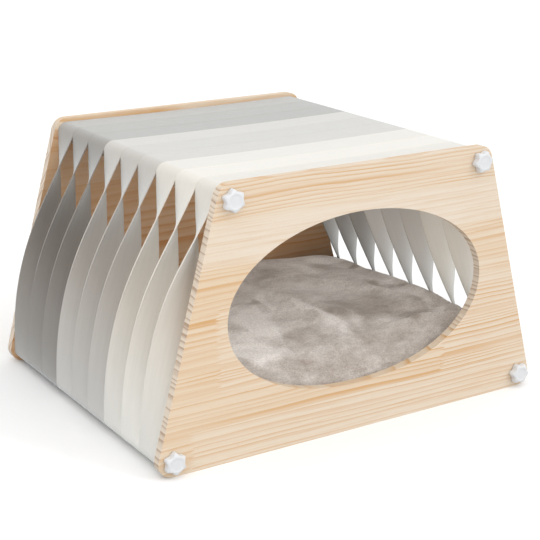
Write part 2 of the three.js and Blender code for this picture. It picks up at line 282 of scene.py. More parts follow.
def pine_group():
    """Growth rings round a pith that runs along X, cut by whatever surface the board has."""
    tree, graph, given, result = new_group("pine rings", {
        "Position": ("Vector", None),
        "End Grain": ("Float", 0.0),
        "Pith Depth": ("Float", 0.1),
        "Pith Height": ("Float", 0.1),
        "Ring Width": ("Float", 0.005),
        "Late Wood": ("Float", 0.5),
        "Wave": ("Float", 0.003),
        "Tint": ("Float", 0.5),
        "Joint": ("Float", 1.0),
    }, {"Color": "Color", "Height": "Float"})
    place = given["Position"]
    split = graph.node("ShaderNodeSeparateXYZ", {0: place}).outputs

    def drawn_out(along, across, detail):
        """Noise that is longer along the fibres than across them."""
        return graph.noise(graph.vector("MULTIPLY", place, (along, across, across)), 1.0, detail)

    # A board is two lengths, glued end to end by fingers
    finger = graph.math("PINGPONG", split[2], FINGER_PITCH / 2)
    finger = graph.math("MULTIPLY", finger, 2 * FINGER_LENGTH / FINGER_PITCH)
    reach = graph.math("SUBTRACT", graph.math("ADD", split[0], finger), given["Joint"])
    second = graph.math("GREATER_THAN", reach, 0.0)
    glue = graph.math("COMPARE", reach, 0.0, GLUE_HALF_WIDTH)

    # The distance from the pith, uneven as in a real trunk
    depth = graph.math("SUBTRACT", split[1], given["Pith Depth"])
    height = graph.math("SUBTRACT", split[2], given["Pith Height"])
    radius = graph.math("SQRT", graph.math(
        "ADD", graph.math("MULTIPLY", depth, depth), graph.math("MULTIPLY", height, height)))
    radius = graph.math("MULTIPLY_ADD", drawn_out(2.0, 6, 1), LONG_WAVE, radius)
    radius = graph.math("MULTIPLY_ADD", drawn_out(7, 22, 2), given["Wave"], radius)
    radius = graph.math("MULTIPLY_ADD", drawn_out(30, 160, 1), SHORT_WAVE, radius)
    radius = graph.math("MULTIPLY_ADD", second, SECOND_SHIFT, radius)
    growth = graph.node("ShaderNodeCombineXYZ", {0: radius}).outputs[0]
    growth = graph.noise(growth, GROWTH_SCALE, 2)
    radius = graph.math("MULTIPLY_ADD", growth, GROWTH_DRIFT, radius)

    # The rings, and how dark the late wood of each year is
    width = graph.math("MULTIPLY_ADD", second, SECOND_NARROWER, 1.0)
    width = graph.math("MULTIPLY", given["Ring Width"], width)
    turns = graph.math("DIVIDE", radius, width)
    phase = graph.math("FRACT", turns)
    year = graph.node("ShaderNodeTexWhiteNoise", {
        "W": graph.math("FLOOR", turns)}, noise_dimensions="1D").outputs["Value"]
    sharpness = graph.math("MULTIPLY_ADD", year, MORE_SHARPNESS, LEAST_SHARPNESS)
    fall = graph.spread(phase, 1.0, RING_ENDS)
    late = graph.math("MULTIPLY", graph.math("POWER", phase, sharpness), fall, clamp=True)
    late = graph.math("MULTIPLY", late, graph.spread(drawn_out(5, 40, 1), 0.3, 0.7, 0.6, 1.5))
    late = graph.math("MULTIPLY", late, given["Late Wood"])
    deeper = graph.math("MULTIPLY_ADD", year, MORE_DEPTH, LEAST_DEPTH)
    late = graph.math("MULTIPLY", late, deeper, clamp=True)

    # The colour from slow changes to fine marks
    warm = graph.math("MULTIPLY_ADD", drawn_out(2.5, 16, 2), BROAD_WARMTH, given["Tint"])
    warm = graph.math("MULTIPLY_ADD", second, SECOND_PALER, warm)
    # Painted shade: warmer and darker towards the left end of the boards, standing in for the light
    # falling off there
    left = graph.spread(split[0], LEFT_STARTS, LEFT_ENDS, 0, LEFT_PAINTED_SHADE)
    warm = graph.math("ADD", warm, left, clamp=True)
    colour = graph.mix(warm, PINE_PALE, PINE_WARM)
    colour = graph.mix(late, colour, PINE_LATE)
    fibre = drawn_out(22, 1000, 2)
    for marks in (
        graph.spread(fibre, 0.4, 0.75, 0, FIBRE_SHARE),
        graph.spread(drawn_out(7, 300, 2), 0.5, 0.75, 0, STREAK_SHARE),
        graph.spread(drawn_out(160, 900, 1), 0.68, 0.8, 0, PORE_SHARE),
        graph.math("MULTIPLY", glue, GLUE_SHARE),
    ):
        colour = graph.mix(marks, colour, PINE_LATE)

    # The sawn ends, where the rings show darker and specked
    specks = graph.spread(graph.noise(place, 1500, 1), 0.3, 0.7, 0, SPECK_SHARE)
    sawn = graph.math("ADD", graph.math("POWER", phase, END_SHARPNESS), specks)
    sawn = graph.mix(graph.math("MULTIPLY", sawn, fall, clamp=True), END_PALE, END_LATE)
    colour = graph.mix(given["End Grain"], colour, sawn)
    graph.tree.links.new(colour, result.inputs["Color"])
    relief = graph.math("MULTIPLY_ADD", late, 0.6, fibre)
    graph.tree.links.new(relief, result.inputs["Height"])
    return tree


# Boards of a panel from the floor up: their upper glue line, how far behind the front face and how
# high the pith is, the rings' width, how dark the late wood is, how the rings wave, how warm the
# board is, and where a finger joint crosses. Lengths are in millimetres.
FRONT_FACE = -237
BOARDS = [
    {"top": 50, "back": 20, "high": -170, "ring": 9.0,
     "late": 0.80, "wave": 4, "tint": -0.12, "joint": -244},
    {"top": 94, "back": 30, "high": -160, "ring": 9.0,
     "late": 1.0, "wave": 5, "tint": -0.02, "joint": 142},
    {"top": 205, "back": 15, "high": -110, "ring": 8.6,
     "late": 0.95, "wave": 5, "tint": 0.07, "joint": -205},
    {"top": 252, "back": 25, "high": 20, "ring": 8.0,
     "late": 0.75, "wave": 6, "tint": 0.05, "joint": 500},
    {"top": 306, "back": 45, "high": 30, "ring": 9.0,
     "late": 0.28, "wave": 7, "tint": -0.45, "joint": 500},
    {"top": 360, "back": 12, "high": 480, "ring": 8.4,
     "late": 1.0, "wave": 9, "tint": 0.0, "joint": -420},
]

# The boards' table is a colour ramp, and these are the span of its values and its height
TABLE_RANGE = 1.1
TABLE_TOP = BOARDS[-1]["top"]


def board_table(graph, height, keys):
    """A stepped ramp over the panel's height that holds three values for each board, times MM."""
    ramp = graph.node("ShaderNodeValToRGB", {"Fac": graph.math("DIVIDE", height, TABLE_TOP * MM)})
    steps = ramp.color_ramp
    steps.interpolation = "CONSTANT"
    foot = 0
    for index, board in enumerate(BOARDS):
        step = steps.elements[0] if index == 0 else steps.elements.new(foot / TABLE_TOP)
        step.position = foot / TABLE_TOP
        step.color = (*(0.5 + board[key] * MM / TABLE_RANGE for key in keys), 1)
        foot = board["top"]
    steps.elements.remove(steps.elements[len(steps.elements) - 1])
    outputs = graph.node("ShaderNodeSeparateColor", {0: ramp.outputs["Color"]}).outputs
    return [
        graph.math("MULTIPLY", graph.math("SUBTRACT", output, 0.5), TABLE_RANGE)
        for output in outputs[:3]
    ]


def pine_material(name, rings, along):
    """Along is the direction of the fibres: X in the panels, Y in the dowels. What faces the cabin from
    behind
    is painted darker and warmer: painted shade for the dim, warm light inside the cabin."""
    material, graph, shader = new_material(name, 0.5, 0.5)
    coordinates = graph.node("ShaderNodeTexCoord").outputs
    place, normal = coordinates["Object"], coordinates["Normal"]
    split = graph.node("ShaderNodeSeparateXYZ", {0: place}).outputs
    facing = graph.node("ShaderNodeSeparateXYZ", {0: normal}).outputs
    if along == "Y":
        place = graph.node("ShaderNodeCombineXYZ", {0: split[1], 1: split[0], 2: split[2]}).outputs[0]
    end = graph.math("ABSOLUTE", facing[0] if along == "X" else facing[1])
    grain = graph.node("ShaderNodeGroup", node_tree=rings)
    back, high, ring = board_table(graph, split[2], ("back", "high", "ring"))
    late, tint, wave = board_table(graph, split[2], ("late", "tint", "wave"))
    joint = board_table(graph, split[2], ("joint", "joint", "joint"))[0]
    for socket, value in (
        ("Position", place),
        ("End Grain", graph.spread(end, 0.5, 0.8)),
        ("Pith Depth", graph.math("ADD", back, FRONT_FACE * MM)),
        ("Pith Height", high),
        ("Ring Width", ring),
        ("Late Wood", graph.math("MULTIPLY", late, 1 / MM)),
        ("Tint", graph.math("MULTIPLY", tint, 1 / MM)),
        ("Wave", wave),
        ("Joint", joint),
    ):
        graph.tree.links.new(value, grain.inputs[socket])
    # Painted shade: the back panel's face towards the cabin, below the roof, is made darker and warmer
    cabin_shade_mask = graph.math(
        "MULTIPLY", graph.spread(facing[1], -0.6, -0.9), graph.math("GREATER_THAN", split[1], 0))
    under_roof = graph.spread(split[2], CABIN_FADE_ENDS, CABIN_FADE_STARTS)
    cabin_shade_mask = graph.math("MULTIPLY", cabin_shade_mask, under_roof)
    base = graph.mix(cabin_shade_mask, grain.outputs["Color"], CABIN_PAINTED_SHADE, "MULTIPLY")
    graph.tree.links.new(base, shader.inputs["Base Color"])
    bump = graph.node("ShaderNodeBump", {
        "Height": grain.outputs["Height"], "Strength": 0.12, "Distance": 0.0004})
    graph.tree.links.new(bump.outputs["Normal"], shader.inputs["Normal"])
    return material


# Elastic

ELASTIC_DYES = {
    "band_grey": ("elastic grey", (0.30, 0.273, 0.245)),
    "band_pale": ("elastic pale", (0.52, 0.485, 0.445)),
    "band_cream": ("elastic cream", (0.72, 0.675, 0.605)),
}
RIB_PITCH = 1.1 * MM
PICK_PITCH = 0.9 * MM
ELASTIC_SHADE = 0.86
WEAVE_SHARE = 0.14
CLOUD_SHARE = 0.3
CLOUD_SCALE = (300, 12, 1)

# Painted light: towards the floor the bands are painted a little lighter and cooler, where the light on
# them comes from the white floor rather than the warm wood
FOOT_PAINTED_LIGHT = (1.01, 1.05, 1.09, 1)
FOOT_STARTS = 0.18
FOOT_FULL = 0.06


def elastic_material(name, dye):
    material, graph, shader = new_material(name, 0.85, 0.2)
    shader.inputs["Sheen Weight"].default_value = 0.9
    shader.inputs["Sheen Roughness"].default_value = 0.45
    shader.inputs["Sheen Tint"].default_value = (0.94, 0.99, 1, 1)
    coordinates = graph.node("ShaderNodeTexCoord").outputs
    cloth = coordinates["UV"]
    level = graph.node("ShaderNodeSeparateXYZ", {0: coordinates["Object"]}).outputs[2]
    split = graph.node("ShaderNodeSeparateXYZ", {0: cloth}).outputs
    ribs = graph.math("SINE", graph.math("MULTIPLY", split[0], 2 * math.pi / RIB_PITCH))
    picks = graph.math("SINE", graph.math("MULTIPLY", split[1], 2 * math.pi / PICK_PITCH))
    weave = graph.math("MULTIPLY", ribs, picks)
    clouds = graph.noise(graph.vector("MULTIPLY", cloth, CLOUD_SCALE), 1.0, 2)
    clouds = graph.spread(clouds, 0.3, 0.7, 0.0, CLOUD_SHARE)
    shade = (*(channel * ELASTIC_SHADE for channel in dye), 1)
    share = graph.math("MULTIPLY_ADD", weave, WEAVE_SHARE, clouds)
    base = graph.mix(share, (*dye, 1), shade)
    # Painted light: lighter and cooler towards the floor
    foot = graph.spread(level, FOOT_STARTS, FOOT_FULL)
    base = graph.mix(foot, base, FOOT_PAINTED_LIGHT, "MULTIPLY")
    graph.tree.links.new(base, shader.inputs["Base Color"])
    bump = graph.node("ShaderNodeBump", {"Height": weave, "Strength": 0.25, "Distance": 0.0002})
    graph.tree.links.new(bump.outputs["Normal"], shader.inputs["Normal"])
    return material


KNOB_WHITE = (0.70, 0.71, 0.72, 1)
KNOB_SHADE = (0.67, 0.68, 0.70, 1)


def knob_material():
    material, graph, shader = new_material("knob white", 0.32, 0.45)
    place = graph.node("ShaderNodeTexCoord").outputs["Object"]
    mottle = graph.noise(place, 160, 2)
    base = graph.mix(graph.spread(mottle, 0.3, 0.7), KNOB_WHITE, KNOB_SHADE)
    graph.tree.links.new(base, shader.inputs["Base Color"])
    graph.tree.links.new(graph.spread(mottle, 0.3, 0.7, 0.28, 0.38), shader.inputs["Roughness"])
    return material


PLUSH_DARK = (0.40, 0.343, 0.30, 1)
PLUSH_LIGHT = (0.86, 0.815, 0.77, 1)
STROKE_SCALE = (75, 115, 90)
STROKE_TONE = 0.19
TUFT_SCALE = (420, 560, 480)
PILE_SCALE = 1100


def plush_material():
    """Short pile: lighter or darker by the way it is brushed, and by the painted light and shade stored
    with it.
    """
    material, graph, shader = new_material("plush", 0.95, 0.1)
    shader.inputs["Sheen Weight"].default_value = 0.35
    shader.inputs["Sheen Roughness"].default_value = 0.45
    place = graph.node("ShaderNodeTexCoord").outputs["Object"]
    # Painted light and shade: the cushion's per-vertex tone holds the brushing and painted light and
    # shade together
    nap_and_shade = graph.node("ShaderNodeAttribute", attribute_name="nap_and_shade").outputs["Fac"]
    strokes = graph.noise(graph.vector("MULTIPLY", place, STROKE_SCALE), 1.0, 3, 0.55)
    tufts = graph.noise(graph.vector("MULTIPLY", place, TUFT_SCALE), 1.0, 3, 0.6)
    pile = graph.noise(place, PILE_SCALE, 2)
    stroked = graph.spread(strokes, 0.25, 0.75, -STROKE_TONE, STROKE_TONE)
    share = graph.math("ADD", nap_and_shade, stroked, clamp=True)
    base = graph.mix(share, PLUSH_DARK, PLUSH_LIGHT)
    speckle = graph.spread(tufts, 0.3, 0.7, 0.76, 1.17)
    base = graph.vector("MULTIPLY", base, graph.node(
        "ShaderNodeCombineXYZ", {0: speckle, 1: speckle, 2: speckle}).outputs[0])
    graph.tree.links.new(base, shader.inputs["Base Color"])
    relief = graph.math("MULTIPLY_ADD", pile, 0.35, tufts)
    relief = graph.math("MULTIPLY_ADD", strokes, 1.2, relief)
    bump = graph.node("ShaderNodeBump", {"Height": relief, "Strength": 0.6, "Distance": 0.002})
    graph.tree.links.new(bump.outputs["Normal"], shader.inputs["Normal"])
    return material


def floor_material():
    """White to the eye, greyer in the light that it sends back, as a bright sweep at a distance is."""
    material, graph, shader = new_material("studio floor", 0.9, 0.1)
    seen = graph.node("ShaderNodeLightPath").outputs["Is Camera Ray"]
    base = graph.mix(seen, (*[FLOOR_BOUNCE] * 3, 1), (*[FLOOR_SEEN] * 3, 1))
    graph.tree.links.new(base, shader.inputs["Base Color"])
    return material


# Meshes

MERGE_DISTANCE = 1e-6
SHARP_ANGLE = 40


def finished(bm, name, material):
    """Makes the piece's object from a bmesh, at the origin."""
    bmesh.ops.recalc_face_normals(bm, faces=bm.faces)
    mesh = bpy.data.meshes.new(name)
    bm.to_mesh(mesh)
    bm.free()
    mesh.shade_smooth()
    mesh.materials.append(material)
    piece = bpy.data.objects.new(name, mesh)
    bpy.context.scene.collection.objects.link(piece)
    return piece


def round_edges(piece, radius, segments):
    bevel = piece.modifiers.new("rounded edges", "BEVEL")
    bevel.width = radius
    bevel.segments = segments
    bevel.limit_method = "ANGLE"
    bevel.angle_limit = math.radians(SHARP_ANGLE)
    bevel.harden_normals = True


def smooth_once(piece):
    smoother = piece.modifiers.new("smoother", "SUBSURF")
    smoother.levels = smoother.render_levels = 1


# Panels and dowels

CORNER_STEPS = 10
DOOR_SIDES = 160
PANEL_EDGE_RADIUS = 1.5 * MM
DOWEL_CLEARANCE = 0.6 * MM
DOWEL_EDGE_RADIUS = 0.8 * MM
DOWEL_SIDES = 64


def trace_outline(bm):
    """The trapezoid's outline in the XZ plane, each corner spun round its dowel's centre."""
    quarter = math.pi / 2
    corners = [
        (BOTTOM_ROD.x, BOTTOM_ROD.z, -quarter, SIDE_LEAN),
        (TOP_ROD.x, TOP_ROD.z, SIDE_LEAN, quarter),
        (-TOP_ROD.x, TOP_ROD.z, quarter, math.pi - SIDE_LEAN),
        (-BOTTOM_ROD.x, BOTTOM_ROD.z, math.pi - SIDE_LEAN, 3 * quarter),
    ]
    ends = []
    for x, z, start, stop in corners:
        centre = Vector((x, 0, z))
        arm = Vector((math.cos(start), 0, math.sin(start))) * PANEL_CORNER_RADIUS
        first = bm.verts.new(centre + arm)
        spun = bmesh.ops.spin(
            bm, geom=[first], cent=centre, axis=(0, -1, 0), dvec=(0, 0, 0),
            angle=stop - start, steps=CORNER_STEPS, use_merge=False,
            use_normal_flip=False, use_duplicate=False)
        last = next(item for item in spun["geom_last"] if isinstance(item, bmesh.types.BMVert))
        ends.append((first, last))
    for (_, last), (first, _) in zip(ends, ends[1:] + ends[:1]):
        bm.edges.new((last, first))


def cut_doorway(bm):
    """The oval's edge, a little squarer in its lower half."""
    circle = bmesh.ops.create_circle(bm, cap_ends=False, segments=DOOR_SIDES, radius=1)
    for vert in circle["verts"]:
        across, along = vert.co.x, vert.co.y
        power = 1 if along >= 0 else 2 / DOOR_LOWER_EXPONENT
        reach = DOOR_RISE if along >= 0 else DOOR_DROP
        vert.co.x = DOOR_HALF_WIDTH * math.copysign(abs(across) ** power, across)
        vert.co.z = DOOR_CENTRE_HEIGHT + reach * math.copysign(abs(along) ** power, along)
        vert.co.y = 0


def panel(name, front_face, doorway, material):
    bm = bmesh.new()
    trace_outline(bm)
    if doorway:
        cut_doorway(bm)
    bmesh.ops.triangle_fill(bm, use_beauty=True, use_dissolve=False, edges=bm.edges)
    bmesh.ops.translate(bm, verts=bm.verts, vec=(0, front_face, 0))
    swept = bmesh.ops.extrude_face_region(bm, geom=bm.faces)
    back = [item for item in swept["geom"] if isinstance(item, bmesh.types.BMVert)]
    bmesh.ops.translate(bm, verts=back, vec=(0, PANEL_THICKNESS, 0))
    piece = finished(bm, name + "_board", material)
    round_edges(piece, PANEL_EDGE_RADIUS, 3)
    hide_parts(name)
    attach(piece, "root")


def dowel(name, place, material):
    bm = bmesh.new()
    length = INNER_DEPTH - DOWEL_CLEARANCE
    turned = Matrix.Translation(place) @ Matrix.Rotation(math.pi / 2, 4, "X")
    bmesh.ops.create_cone(
        bm, cap_ends=True, segments=DOWEL_SIDES, radius1=ROD_RADIUS, radius2=ROD_RADIUS,
        depth=length, matrix=turned)
    piece = finished(bm, name + "_dowel", material)
    round_edges(piece, DOWEL_EDGE_RADIUS, 2)
    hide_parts(name)
    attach(piece, "root")


# Knobs

# Section from the panel outward: distance from the axis, height and depth of the flutes
KNOB_SECTION = [
    {"radius": 0, "height": 0.3, "flute": 0},
    {"radius": 14.3, "height": 0.32, "flute": 3.1},
    {"radius": 14.9, "height": 0.8, "flute": 3.5},
    {"radius": 15.1, "height": 1.8, "flute": 3.6},
    {"radius": 15.1, "height": 6.4, "flute": 3.6},
    {"radius": 14.7, "height": 7.8, "flute": 3.2},
    {"radius": 13.5, "height": 9.0, "flute": 2.1},
    {"radius": 11.8, "height": 9.8, "flute": 0.6},
    {"radius": 9.6, "height": 10.2, "flute": 0},
    {"radius": 8.6, "height": 10.15, "flute": 0},
    {"radius": 8.0, "height": 9.75, "flute": 0},
    {"radius": 7.4, "height": 9.55, "flute": 0},
    {"radius": 0, "height": 9.5, "flute": 0},
]
KNOB_STEPS = 72

# How far each knob is screwed round, in degrees from +X to its first lobe
KNOB_TURNS = {
    ("top", "left"): 35, ("top", "right"): 9, ("bottom", "left"): 31, ("bottom", "right"): 53,
}


def knob(name, place, facing, turn, material):
    bm = bmesh.new()
    chain = [bm.verts.new((row["radius"] * MM, row["height"] * MM, 0)) for row in KNOB_SECTION]
    edges = [bm.edges.new(pair) for pair in zip(chain, chain[1:])]
    bmesh.ops.spin(
        bm, geom=chain + edges, cent=(0, 0, 0), axis=(0, 1, 0), dvec=(0, 0, 0),
        angle=2 * math.pi, steps=KNOB_STEPS, use_merge=True, use_normal_flip=False,
        use_duplicate=False)
    bmesh.ops.remove_doubles(bm, verts=bm.verts, dist=MERGE_DISTANCE)
    flutes = {row["height"] * MM: row["flute"] * MM for row in KNOB_SECTION}
    for vert in bm.verts:
        radius = math.hypot(vert.co.x, vert.co.z)
        if radius < MERGE_DISTANCE:
            continue
        angle = math.atan2(vert.co.z, vert.co.x)
        hollow = ((1 - math.cos(KNOB_LOBES * (angle - turn))) / 2) ** FLUTE_POWER
        height = min(flutes, key=lambda level: abs(level - vert.co.y))
        shrink = 1 - flutes[height] * hollow / radius
        vert.co.x *= shrink
        vert.co.z *= shrink
    flip = Matrix.Diagonal((1, facing, 1, 1))
    bmesh.ops.transform(bm, matrix=Matrix.Translation(place) @ flip, verts=bm.verts)
    piece = finished(bm, name + "_star", material)
    smooth_once(piece)
    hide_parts(name)
    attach(piece, "root")


# Bands

# Each band from the back to the front: its slot, how many degrees its half turn runs ahead at mid
# height on the left and right, how far it bows out on the right in millimetres, and by how much its
# colour is painted lighter or darker than the rest of its slot: painted light for the light on it
BANDS = [
    {"slot": "band_grey", "left": 0, "right": 4, "bow": 2.7, "tone": 1.1},
    {"slot": "band_grey", "left": 0, "right": -1.5, "bow": 2.9, "tone": 1.0},
    {"slot": "band_grey", "left": 1, "right": 1, "bow": 2.4, "tone": 0.98},
    {"slot": "band_pale", "left": 2, "right": 3, "bow": 1, "tone": 1.06},
    {"slot": "band_pale", "left": 5, "right": 2.5, "bow": 0, "tone": 1.0},
    {"slot": "band_pale", "left": 5, "right": 1.5, "bow": 0, "tone": 1.03},
    {"slot": "band_cream", "left": 3, "right": 0, "bow": 0, "tone": 1.0},
    {"slot": "band_cream", "left": 6, "right": 1, "bow": 0, "tone": 1.08},
    {"slot": "band_cream", "left": 12, "right": 2, "bow": 0, "tone": 1.0},
]
ARC_RADIUS = ROD_RADIUS + BAND_GAP + BAND_THICKNESS / 2
SIDE_STEPS = 72
TOP_STEPS = 12
BOTTOM_STEPS = 8
ARC_STEPS = 14
ACROSS_STEPS = 8
BAND_EDGE_RADIUS = 0.35 * MM
FORWARD = Vector((0, 1, 0))


def station(x, z, outward, turn):
    """A cross-section: its middle, the angle of its outer side, and how far it has turned."""
    return {"x": x, "z": z, "outward": outward, "turn": turn}


def arc_run(centre, side, start, stop, turn):
    run = []
    for step in range(ARC_STEPS):
        angle = start + (stop - start) * step / ARC_STEPS
        x = side * centre.x + ARC_RADIUS * math.cos(angle)
        z = centre.z + ARC_RADIUS * math.sin(angle)
        run.append(station(x, z, angle, turn))
    return run


def side_run(side, lead, bow):
    """From the upper dowel down to the lower one, with a half turn on the way."""
    outward = SIDE_LEAN if side > 0 else math.pi - SIDE_LEAN
    out = Vector((math.cos(outward), 0, math.sin(outward)))
    upper = Vector((side * TOP_ROD.x, 0, TOP_ROD.z)) + out * ARC_RADIUS
    lower = Vector((side * BOTTOM_ROD.x, 0, BOTTOM_ROD.z)) + out * ARC_RADIUS
    run = []
    for step in range(SIDE_STEPS + 1):
        down = step / SIDE_STEPS
        swell = math.sin(math.pi * down)
        turn = math.pi * down + math.radians(lead) * swell * swell
        middle = upper.lerp(lower, down) + out * bow * MM * swell
        run.append(station(middle.x, middle.z, outward, turn))
    return run


def band_run(band):
    """All the cross-sections of one closed band, from the middle of the top and round."""
    left, up = math.pi - SIDE_LEAN, math.pi / 2
    top = []
    for step in range(1, TOP_STEPS):
        across = 2 * step / TOP_STEPS - 1
        height = TOP_ROD.z + ARC_RADIUS - BAND_TOP_SAG * (1 - across * across)
        top.append(station(-across * TOP_ROD.x, height, up, 0))
    bottom = []
    for step in range(1, BOTTOM_STEPS):
        across = 2 * step / BOTTOM_STEPS - 1
        bottom.append(station(across * BOTTOM_ROD.x, BOTTOM_ROD.z - ARC_RADIUS, 3 * up, math.pi))
    return [
        *top,
        *arc_run(TOP_ROD, -1, up, left, 0),
        *side_run(-1, band["left"], 0),
        *arc_run(BOTTOM_ROD, -1, left, 3 * up, math.pi)[1:],
        station(-BOTTOM_ROD.x, BOTTOM_ROD.z - ARC_RADIUS, 3 * up, math.pi),
        *bottom,
        *arc_run(BOTTOM_ROD, 1, -up, SIDE_LEAN, math.pi),
        *reversed(side_run(1, band["right"], band["bow"])),
        *arc_run(TOP_ROD, 1, SIDE_LEAN, up, 0)[1:],
        station(TOP_ROD.x, TOP_ROD.z + ARC_RADIUS, up, 0),
        top[0],
    ]


def band(index, row, material):
    run = band_run(row)
    lengths = [0.0]
    for near, far in zip(run, run[1:]):
        lengths.append(lengths[-1] + math.hypot(far["x"] - near["x"], far["z"] - near["z"]))
    centre_y = INNER_DEPTH / 2 - BAND_PITCH * (index + 0.5)
    bm = bmesh.new()
    bmesh.ops.create_grid(bm, x_segments=len(run) - 1, y_segments=ACROSS_STEPS, size=0.5)

    def place_along(vert):
        return round((vert.co.x + 0.5) * (len(run) - 1))

    cloth = bm.loops.layers.uv.new("cloth")
    for face in bm.faces:
        for loop in face.loops:
            across = loop.vert.co.y + 0.5
            loop[cloth].uv = (across * BAND_WIDTH, lengths[place_along(loop.vert)])
    for vert in bm.verts:
        place = run[place_along(vert)]
        across = vert.co.y * BAND_WIDTH
        out = Vector((math.cos(place["outward"]), 0, math.sin(place["outward"])))
        crosswise = FORWARD * math.cos(place["turn"]) - out * math.sin(place["turn"])
        vert.co = Vector((place["x"], centre_y, place["z"])) + crosswise * across
    bmesh.ops.remove_doubles(bm, verts=bm.verts, dist=MERGE_DISTANCE)
    piece = finished(bm, f"band_{index + 1}_cloth", material)
    wall = piece.modifiers.new("thickness", "SOLIDIFY")
    wall.thickness = BAND_THICKNESS
    wall.offset = 0
    round_edges(piece, BAND_EDGE_RADIUS, 2)
    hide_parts(f"band_{index + 1}")
    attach(piece, "root")


# Cushion

VOXEL = 6 * MM
CUSHION_INSET = 4 * MM
CUSHION_CAP = 7 * MM
CUSHION_PROUD = 1.5 * MM
CUSHION_SUNK = 0.3 * MM
CUSHION_MERGE = 1e-5
TOP_FACING = 0.5
FILLING_PRESSURE = 1
COVER_STIFFNESS = 60
FILLING_FRAMES = 20

# The lean over the doorway's lower edge: its size, then where it begins and over how much it grows,
# first inwards from the oval, whose own measure is 1 at the edge, and then along -Y
DOORWAY_BULGE = 6 * MM
DOORWAY_MARGIN = 0.03
DOORWAY_RAMP = 0.12
LEAN_START = 200 * MM
LEAN_LENGTH = 20 * MM

# Folds that the plush has over the filling, in millimetres. Each is a line seen from above, the
# width of its flank, how far it rises, how far its left side stands above its right one, and how
# much lighter its left flank is painted than its right one: painted light and shade on the flanks
FOLDS = [
    {"line": [(23, 38), (36, -23), (45, -95), (47, -125), (45, -165)],
     "width": 7, "rise": 3.2, "step": -2.0, "tone": -0.14},
    {"line": [(137, -156), (168, -163), (193, -171), (228, -186)],
     "width": 4.5, "rise": 2.4, "step": -3.2, "tone": -0.3},
    {"line": [(-14, -5), (-27, -45), (-33, -95), (-48, -140), (-52, -175)],
     "width": 11, "rise": 0.8, "step": -1.8, "tone": -0.14},
    {"line": [(100, 79), (125, 42), (150, 18), (164, -3), (176, -35), (186, -75)],
     "width": 8, "rise": 2.2, "step": -2.0, "tone": -0.12},
    {"line": [(242, -47), (215, -50), (188, -56)], "width": 6, "rise": -1.8, "step": -0.8, "tone": 0},
    {"line": [(145, 99), (160, 97), (180, 90)], "width": 13, "rise": -1.2, "step": 0.4, "tone": 0},
    {"line": [(165, 120), (193, 128), (222, 120)], "width": 8, "rise": 1.4, "step": 0.5, "tone": 0.1},
    {"line": [(-122, -122), (-95, -150), (-58, -180)], "width": 10, "rise": 2.2, "step": 0.8, "tone": 0},
    {"line": [(-118, -82), (-95, -74), (-80, -68)], "width": 8, "rise": -2.2, "step": 0.5, "tone": 0},
    {"line": [(-38, 8), (-18, 6), (0, 0)], "width": 8, "rise": -2.0, "step": -0.6, "tone": 0},
    {"line": [(14, 68), (70, 60), (127, 52)], "width": 10, "rise": -1.6, "step": 0.6, "tone": 0},
    {"line": [(50, -30), (48, -75), (52, -108), (88, -112)],
     "width": 6, "rise": -1.2, "step": 0.8, "tone": -0.1},
    {"line": [(226, 130), (227, 0), (226, -150)], "width": 14, "rise": 3.4, "step": 0, "tone": 0},
    {"line": [(90, 212), (236, 212)], "width": 36, "rise": -9.5, "step": 0, "tone": 0},
    {"line": [(158, 190), (215, 190)], "width": 24, "rise": -4, "step": 0, "tone": 0},
]
FOLD_TAPER = 2.5

# Low lumps all over the top, in millimetres
LUMPS = [{"size": 80, "rise": 1.6}, {"size": 28, "rise": 0.9}, {"size": 11, "rise": 0.35}]
